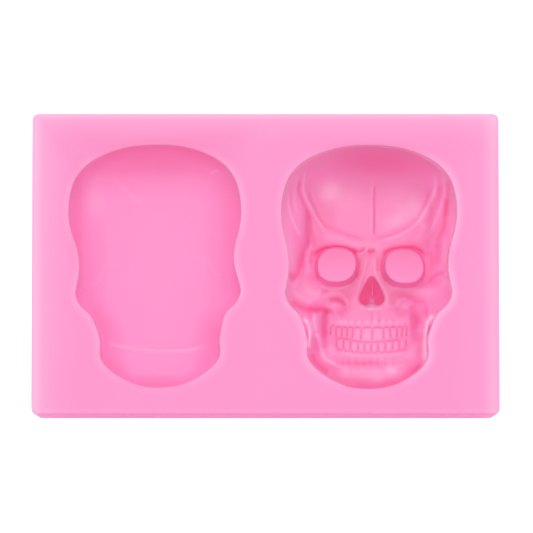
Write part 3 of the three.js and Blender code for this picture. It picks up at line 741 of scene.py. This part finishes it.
def cavitySkin(outline, span):
    bpy.ops.mesh.primitive_circle_add(vertices=len(outline), radius=mm, fill_type="NGON")
    piece = named("cavity")
    place(piece, atDepth(grown(outline, cavity["apron"][0]), 0))
    edit(piece)
    bpy.ops.mesh.select_all(action="SELECT")

    def inset(thickness, drop=0.0):
        bpy.ops.mesh.inset(thickness=thickness * mm, depth=-drop * mm, use_even_offset=True)

    radius, steps = cavity["lipRadius"], cavity["lipSteps"]
    for outside, inside in zip(cavity["apron"], cavity["apron"][1:] + [radius]):
        inset(outside - inside)
    turns = [math.radians(90 * k / steps) for k in range(steps + 1)]
    for a, b in zip(turns, turns[1:]):
        inset(radius * (math.sin(b) - math.sin(a)), radius * (math.cos(a) - math.cos(b)))
    inset(cavity["wall"], cavity["wallDepth"] - radius)
    for thickness in cavity["nearWall"]:
        inset(thickness)

    shape = bmesh.from_edit_mesh(piece.data)
    floor = next(f for f in shape.faces if f.select)
    loop = set(v.index for v in floor.verts)
    bpy.ops.mesh.delete(type="ONLY_FACE")
    bpy.ops.mesh.select_mode(type="VERT")
    bpy.ops.mesh.select_all(action="DESELECT")
    shape = bmesh.from_edit_mesh(piece.data)
    shape.verts.ensure_lookup_table()
    corner = Vector((*outline[-span // 2], 0)) * mm
    ring = [shape.verts[i] for i in loop]
    for vert in ring:
        vert.select_set(True)
    shape.select_flush(True)
    shape.select_history.clear()
    shape.select_history.add(min(ring, key=lambda v: (v.co.xy - corner.xy).length))
    bmesh.update_edit_mesh(piece.data)
    bpy.ops.mesh.fill_grid(span=span, offset=0)
    done()
    return piece


def raiseFloor(piece, depthAt):
    points = places(piece)
    floor = points[:, 2] < topHeight - cavity["wallDepth"] + 0.01
    x, y = points[floor, 0], points[floor, 1]
    points[floor, 2] = topHeight - depthAt(x, y)
    place(piece, points)


def paint(piece, name, values):  # one number for each vertex
    layer = piece.data.attributes.new(name, "FLOAT", "POINT")
    layer.data.foreach_set("value", np.asarray(values, np.float32))


def awayFrom(outline, points, part=4000):  # each point's distance, in parts
    return np.concatenate([
        np.hypot(*(points[k:k + part, None, :2] - outline).transpose(2, 0, 1)).min(1)
        for k in range(0, len(points), part)])


rimPaint = {
    "across": [-20, -8, 8, 20],  # where a rim's four values stand
    "jawAcross": [-15, -6, 6, 15],  # the same at the jaw
    "jaw": (-7, -11),  # the jaw's values take over between these heights
    "apron": 2.4,  # reach of the glow on the land
    "lipAway": 0.35, "lipFrom": 0.02, "lipTo": 0.35, "lipShare": 0.6,
    "wallAway": 0.1, "wallFrom": 0.2,
    "floorFrom": 0.6, "footPower": 1.5,
    "crown": (15, 24), "crownWidth": 14, "crownPower": 4,
}


def paintRim(piece, outline, look, stubs):  # painted glow beside a rim, on its wall and below it
    rim, points = rimPaint, places(piece)
    away = awayFrom(outline, points)
    x, y, z = points.T
    jaw = ease(*rim["jaw"], y)
    side = (np.interp(x, rim["across"], look["land"]) * (1 - jaw)
            + np.interp(x, rim["jawAcross"], look["jaw"]) * jaw)
    foot, wall = (np.interp(x, rim["across"], look[key]) for key in ("foot", "wall"))
    outside = side * np.clip(1 - away / rim["apron"], 0, 1)
    inside = foot * np.clip(1 - away / look["reach"], 0, 1) ** rim["footPower"]
    low = z < topHeight - rim["floorFrom"]
    lip = ((away < rim["lipAway"]) & (z < topHeight - rim["lipFrom"])
           & (z > topHeight - rim["lipTo"]))
    upright = (away < rim["wallAway"]) & (z < topHeight - rim["wallFrom"])
    glow = np.where(lip, wall * rim["lipShare"], np.where(low, inside, outside))
    paint(piece, "rimGlow", np.where(upright, wall, glow))

    # painted glow given out by deep walls and floors, less under the crown
    paintedGlow = look["through"] * np.clip(1 - away / look["throughReach"], 0, 1)
    crown = np.exp(-(x / rim["crownWidth"]) ** rim["crownPower"])
    crown = ease(*rim["crown"], y) * crown
    paintedGlow = np.where(low | upright, paintedGlow * (1 - (1 - look["throughCrown"]) * crown), 0)
    paint(piece, "inside", np.maximum(paintedGlow, stubs * eye["wallGlow"]))


smoothAngle = 50  # degrees


def finishPiece(piece, nodes):
    only(piece)
    bpy.ops.object.shade_smooth_by_angle(angle=math.radians(smoothAngle))
    piece.data.materials.clear()
    piece.data.materials.append(silicone)
    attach(piece, "root")
    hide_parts(*nodes)
    print("piece", piece.name, len(piece.data.polygons), "faces")


# Materials

def method(operation):  # two values into one maths node
    return lambda self, other: self.math(operation, self, other)


class Wire:  # one socket of a material, to be used in sums
    def __init__(self, tree, socket=None):
        self.tree = tree
        self.socket = socket

    def node(self, kind, settings=None, sockets=None, output=0):
        made = self.tree.nodes.new(kind)
        for key, value in (settings or {}).items():
            setattr(made, key, value)
        for key, value in (sockets or {}).items():
            if isinstance(value, Wire):
                self.tree.links.new(value.socket, made.inputs[key])
            else:
                made.inputs[key].default_value = value
        return Wire(self.tree, made.outputs[output] if made.outputs else None)

    def math(self, operation, *values, clamp=False):
        settings = {"operation": operation, "use_clamp": clamp}
        return self.node("ShaderNodeMath", settings, dict(enumerate(values)))

    __add__, __sub__, __pow__ = method("ADD"), method("SUBTRACT"), method("POWER")
    __mul__, __truediv__ = method("MULTIPLY"), method("DIVIDE")

    def __rsub__(self, other):
        return self.math("SUBTRACT", other, self)

    def least(self, *others):
        found = self
        for other in others:
            found = found.math("MINIMUM", found, other)
        return found

    def most(self, other, clamp=False):
        return self.math("MAXIMUM", self, other, clamp=clamp)

    def fades(self, reach):  # 1 at no distance, 0 from this reach onwards
        return self.math("SUBTRACT", 1.0, self / reach, clamp=True)

    def mix(self, low, high):  # this wire picks between two colours
        sockets = {0: self, 6: low, 7: high}
        return self.node("ShaderNodeMix", {"data_type": "RGBA"}, sockets, 2)


def emptyTree(owner):  # a material's or world's nodes, cleared
    owner.use_nodes = True
    owner.node_tree.nodes.clear()
    return Wire(owner.node_tree)


def linear(*seen):  # a colour as the eye sees it, each above 10 of 255
    return (*(((value / 255 + 0.055) / 1.055) ** 2.4 for value in seen), 1.0)


siliconeLook = {
    "pink": linear(248, 144, 200),
    "floor": linear(244, 143, 193),  # painted shade: deep floors deeper in colour, for the light they pass to each other
    "floorShadeDepths": (10.0, 14.0),  # the floor's painted shade takes over between these depths
    "paintedLightPink": linear(253, 186, 223),  # painted light: highlights, and glow at thin edges where light comes through
    "paintedHighlightPink": linear(255, 222, 240),  # painted highlights on the palest crests
    "deep": linear(240, 84, 140),  # painted shade in creases and recesses
    "sides": (0.22, 0.02, 0.12, 1.0),  # painted glow on the block's sides, for light that leaves through them
    "through": (0.11, 0.013, 0.036, 1.0),  # painted glow on deep walls, for light that reaches them through the rubber
    "black": (0.0, 0.0, 0.0, 1.0),
    # bands of painted glow and painted highlight along the block's sides, and painted shade at
    # its front, as (reach inwards, strength)
    "edge": (12.0, 0.5), "edgePower": 3,
    "end": (12.0, 0.16),
    "roundingHighlight": (2.6, 0.6), "roundingHighlightRight": 0.6, "roundingHighlightRear": 1.7,
    # painted shade along the front edge, and a painted highlight on its rounding
    "frontShade": (0.3, 0.25),
    "frontLipHighlight": (0.6, 0.4), "frontLipAt": 0.8,
    "sidesReach": 0.9,
    "glowPower": 1.4, "glowPale": 0.5,  # of the glow painted along the rims
    # slow drift of colour and roughness, and the fine grain of the surface
    "cloud": {"Scale": 60.0, "Detail": 3.0, "Roughness": 0.55},
    "cloudPale": 0.12, "cloudRough": 0.08,
    "grain": {"Scale": 2600.0, "Detail": 2.0},
    "grainDepth": 0.012, "grainStrength": 0.12,
    "roughness": 0.42, "bending": 1.42,
}


def siliconeMaterial():
    look = siliconeLook
    made = bpy.data.materials.new("silicone")
    wire = emptyTree(made)
    spot = wire.node("ShaderNodeTexCoord", output=3)
    x, y, z = (wire.node("ShaderNodeSeparateXYZ", sockets={0: spot}, output=k) for k in range(3))
    glow, shadingAndMarks, inside = (wire.node("ShaderNodeAttribute", {"attribute_name": name}, output=2)
                          for name in ("rimGlow", "shadingAndMarks", "inside"))
    cloud = wire.node("ShaderNodeTexNoise", sockets={"Vector": spot, **look["cloud"]})
    grain = wire.node("ShaderNodeTexNoise", sockets={"Vector": spot, **look["grain"]})
    drift = cloud - 0.5

    left, right = x / mm + blockSize.x / 2, blockSize.x / 2 - x / mm
    front, rear = y / mm + blockSize.y / 2, blockSize.y / 2 - y / mm
    anySide = left.least(right, front, rear).fades(look["sidesReach"])

    def band(name, distance):
        reach, strength = look[name]
        return distance.fades(reach) * strength

    # painted light along the block's edges: glow at the left, rear and ends, highlights on the
    # roundings and along the front
    reach, strength = look["edge"]
    edge = left.least(rear).fades(reach) ** look["edgePower"] * strength
    roundingHighlight = band("roundingHighlight", left.least(right * look["roundingHighlightRight"], rear * look["roundingHighlightRear"]))
    frontLipHighlight = band("frontLipHighlight", wire.math("ABSOLUTE", front - look["frontLipAt"]))
    edgeLight = edge + band("end", left.least(right)) + roundingHighlight + frontLipHighlight
    # painted glow from the block's edges and the rims, with the random drift of colour
    glowAndDrift = edgeLight.most(glow ** look["glowPower"] * look["glowPale"])
    glowAndDrift = wire.math("ADD", glowAndDrift, drift * look["cloudPale"], clamp=True)
    # painted highlights where the shading is above 0, painted shade where it is below 0 and along
    # the front edge
    light = glowAndDrift.most(shadingAndMarks.most(0.0), clamp=True)
    darkening = (shadingAndMarks * -1).most(band("frontShade", front), clamp=True)
    # painted shade: deeper floors turn deeper in colour
    start, full = look["floorShadeDepths"]
    slope = 1 / (full - start)
    low = wire.math("ADD", (topHeight - z / mm) * slope, -start * slope, clamp=True)
    # painted highlights on the palest crests, then the colour with all painted light and shade
    crest = wire.math("SUBTRACT", shadingAndMarks, 1.0, clamp=True)
    body = low.mix(look["pink"], look["floor"])
    colour = darkening.mix(light.mix(body, crest.mix(look["paintedLightPink"], look["paintedHighlightPink"])), look["deep"])
    # painted glow given out by the surface, along the block's sides and on deep walls
    paintedGlow = anySide.mix(inside.mix(look["black"], look["through"]), look["sides"])
    bump = wire.node("ShaderNodeBump", sockets={
        "Strength": look["grainStrength"], "Distance": look["grainDepth"] * mm,
        "Height": grain})
    shader = wire.node("ShaderNodeBsdfPrincipled", sockets={
        "Base Color": colour, "Roughness": drift * look["cloudRough"] + look["roughness"],
        "Normal": bump, "IOR": look["bending"], "Emission Color": paintedGlow,
        "Emission Strength": 1.0})
    wire.node("ShaderNodeOutputMaterial", sockets={0: shader})
    return made


silicone = siliconeMaterial()

# Camera: about a metre above the block and a little in front of it

camera = {
    "aim": (0.25, -0.7),  # millimetres from the middle of the top face
    "distance": 1000.0,
    "tilt": 4.2,  # degrees from straight down
    "focal": 4034.0,  # in pixels of the 533-pixel frame
    "frame": 533,
    "sensor": 36,
    "clip": (0.05, 20),  # metres
}


def addCamera():
    tilt = math.radians(camera["tilt"])
    aim = Vector((*camera["aim"], topHeight))
    spot = aim + Vector((0, -math.sin(tilt), math.cos(tilt))) * camera["distance"]
    bpy.ops.object.camera_add(location=spot * mm, rotation=(tilt, 0, 0))
    found = bpy.context.object
    found.data.sensor_width = camera["sensor"]
    found.data.lens = camera["sensor"] * camera["focal"] / camera["frame"]
    found.data.clip_start, found.data.clip_end = camera["clip"]
    bpy.context.scene.camera = found


addCamera()
print("camera ready")


# The halves and the posts

def mouldHalf(name, node, floor, depthAt, strokes, patches, stubsAt=None):
    outline = grown(outlineOf(floor), -cavity["inwards"])
    skin = cavitySkin(outline, floor["span"])
    raiseFloor(skin, depthAt)
    points = places(skin)
    x, y = points[:, :2].T.copy()
    stubs = stubsAt(x, y) if stubsAt else np.zeros(x.shape)
    # painted glow beside the rim, on its wall and over the deep floor
    paintRim(skin, outline, floor["rim"], stubs)
    # painted highlights and painted shade, with a few real scratches and flecks on the back's
    # floor
    shadingAndMarks = drawn(x, y, 1, strokes)
    for patch in patches:
        shadingAndMarks += form(x, y, *patch)
    paint(skin, "shadingAndMarks", shadingAndMarks + eye["wallShade"] / 2 * stubs)
    turn = math.radians(floor["turn"])
    points[:, 0] = floor["x"] + x * math.cos(turn) - y * math.sin(turn)
    points[:, 1] = x * math.sin(turn) + y * math.cos(turn)
    place(skin, points)

    piece = blockHalf(name, node)
    only(piece)
    skin.select_set(True)
    bpy.ops.object.join()
    edit(piece, "EDGE")
    pick(piece, "edges", lambda e: e.is_boundary)
    bpy.ops.mesh.fill(use_beauty=True)  # the land between the block and the cavity
    done()
    finishPiece(piece, [node])


def ringPiece(name, rings):  # stacked rings of points, closed at both ends
    count, rise = len(rings[0]), 0.01  # the rise only tells the rings apart
    bpy.ops.mesh.primitive_circle_add(vertices=count, radius=mm, fill_type="NGON")
    piece = named(name)
    edit(piece)
    bpy.ops.mesh.select_all(action="SELECT")
    for _ in rings[1:]:  # each inset leaves a ring behind and lifts the cap
        bpy.ops.mesh.inset(thickness=rise / 10 * mm, depth=rise * mm)
    done()
    points = places(piece)
    level = np.rint(points[:, 2] / rise).astype(int)
    turn = np.arctan2(points[:, 1], points[:, 0]) / (2 * math.pi) * count
    place(piece, np.array(rings)[level, np.rint(turn).astype(int) % count])
    edit(piece, "EDGE")
    pick(piece, "edges", lambda e: e.is_boundary)
    bpy.ops.mesh.edge_face_add()
    bpy.ops.mesh.select_all(action="SELECT")
    bpy.ops.mesh.normals_make_consistent(inside=False)
    done()
    return piece


def eyeRing(at, gap, depth):
    turn = np.arange(eye["around"]) / eye["around"] * 2 * math.pi
    bend = 2 / eye["power"]
    x = np.sign(np.cos(turn)) * np.abs(np.cos(turn)) ** bend * (eye["across"] + gap)
    y = np.sign(np.sin(turn)) * np.abs(np.sin(turn)) ** bend * (eye["tall"] + gap)
    x = x + eyeLean(at) * y
    return atDepth(np.column_stack([x + at[0] + face["x"], y + at[1]]), depth)


def eyePost(node, at):
    edge, top, seat, steps = (eye[key] for key in ("edge", "top", "seat", "edgeSteps"))
    rings = [eyeRing(at, (depth - top) * eyeSlope, depth)
             for depth in np.linspace(seat, top + edge, eye["wallSteps"])]
    for k in range(1, steps + 1):
        turn = math.radians(90 * k / steps)
        rings.append(eyeRing(at, edge * (eyeSlope - 1 + math.cos(turn)),
                             top + edge * (1 - math.sin(turn))))
    rings += [eyeRing(at, -edge - inwards, top) for inwards in eye["topRings"]]
    piece = ringPiece(node.replace("_eye_post", "EyePost"), rings)
    x, y, z = places(piece).T
    # painted shade on the top, darker towards its upper edge, and painted shade and painted glow
    # on its walls
    start, full = eye["topDepths"]
    upper = ease(top + start, top + full, topHeight - z)
    shadingAndMarks = np.interp((y - at[1]) / eye["tall"], eye["toneHeights"], eye["shadingAndMarks"])
    paint(piece, "shadingAndMarks", shadingAndMarks * upper + eye["wallShade"] * (1 - upper))
    paint(piece, "inside", (1 - upper) * eye["wallGlow"])
    finishPiece(piece, [node])


def noseBoss():
    middle = np.array(nose["place"]) + [face["x"], 0]
    seat, top = nose["seat"], nose["crest"]
    loop = evenly(smoothLoop(mirrored(nose["half"]), nose["outlineSteps"]), nose["around"])
    crest = np.column_stack([
        np.clip(loop[:, 0], -nose["crestHalf"], nose["crestHalf"]) * nose["crestWidth"],
        loop[:, 1] * nose["crestLength"]])
    rings = []
    for share in np.linspace(0, 1, nose["steps"]):
        points = loop * (1 - share) + crest * share + middle
        rings.append(atDepth(points, seat + (top - seat) * share))
    piece = ringPiece("noseBoss", rings)
    x, y, z = places(piece).T
    # painted shade over the boss, deeper near its crest, with a painted highlight at its foot
    upper = ease(top + nose["crestFade"], top, topHeight - z)
    foot = form(x - middle[0], y - middle[1], *nose["foot"])
    paint(piece, "shadingAndMarks", nose["shadingAndMarks"] + nose["crestShade"] * upper + foot)
    finishPiece(piece, ["nose_boss"])


faceStrokes += teethStrokes()
mouldHalf("faceMouldHalf", "face_mould_half", face, faceDepth, faceStrokes, facePatches,
          faceStubs)
mouldHalf("backMouldHalf", "back_mould_half", back, backDepth, backStrokes, backPatches)
print("halves ready")
for node, at in eye["places"].items():
    eyePost(node, at)
noseBoss()
print("posts ready")

# Floor, lamps and world

stage = {
    "floorSize": 6.0,
    "floorWhite": (0.86, 0.86, 0.86, 1),
    "floorShine": 0.7,  # its own white, so that only a faint shadow shows
    "white": (1, 1, 1, 1),
    "sky": 0.56,  # strength of the world's light; it is seen at full white
    "aim": (0, 0, 0.02),  # where the lamps point
    "lamps": [  # name, place, side, power
        ("overhead", (-0.06, 0.12, 1.5), 1.1, 7.4),
        ("softTop", (0.0, 0.95, 1.15), 0.5, 3.0),
        ("softRight", (0.9, -0.5, 1.1), 0.3, 1.2),
        ("softLeft", (-0.75, -0.35, 1.2), 0.3, 1.2),
    ],
}


def addFloor():
    bpy.ops.mesh.primitive_plane_add(size=stage["floorSize"])
    floor = named("floor")
    made = bpy.data.materials.new("floorWhite")
    wire = emptyTree(made)
    matte = wire.node("ShaderNodeBsdfDiffuse", sockets={"Color": stage["floorWhite"]})
    seen = wire.node("ShaderNodeLightPath", output=0)
    shine = wire.node("ShaderNodeEmission", sockets={
        "Color": stage["white"], "Strength": seen * stage["floorShine"]})
    both = wire.node("ShaderNodeAddShader", sockets={0: matte, 1: shine})
    wire.node("ShaderNodeOutputMaterial", sockets={0: both})
    floor.data.materials.append(made)


def addLamp(name, spot, side, power):
    bpy.ops.object.light_add(type="AREA", location=spot)
    lamp = named(name)
    lamp.data.shape = "RECTANGLE"
    lamp.data.size = lamp.data.size_y = side
    lamp.data.energy = power
    lamp.visible_camera = False
    facing = (Vector(spot) - Vector(stage["aim"])).to_track_quat("Z", "Y")
    lamp.rotation_euler = facing.to_euler()


def addWorld():
    world = bpy.data.worlds.new("studio")
    bpy.context.scene.world = world
    wire = emptyTree(world)
    seen = wire.node("ShaderNodeLightPath", output=0)
    sky = wire.node("ShaderNodeBackground", sockets={
        "Color": stage["white"], "Strength": seen * (1 - stage["sky"]) + stage["sky"]})
    wire.node("ShaderNodeOutputWorld", sockets={0: sky})


addFloor()
for lamp in stage["lamps"]:
    addLamp(*lamp)
addWorld()
bpy.context.scene.view_settings.view_transform = "Standard"
print("stage ready")
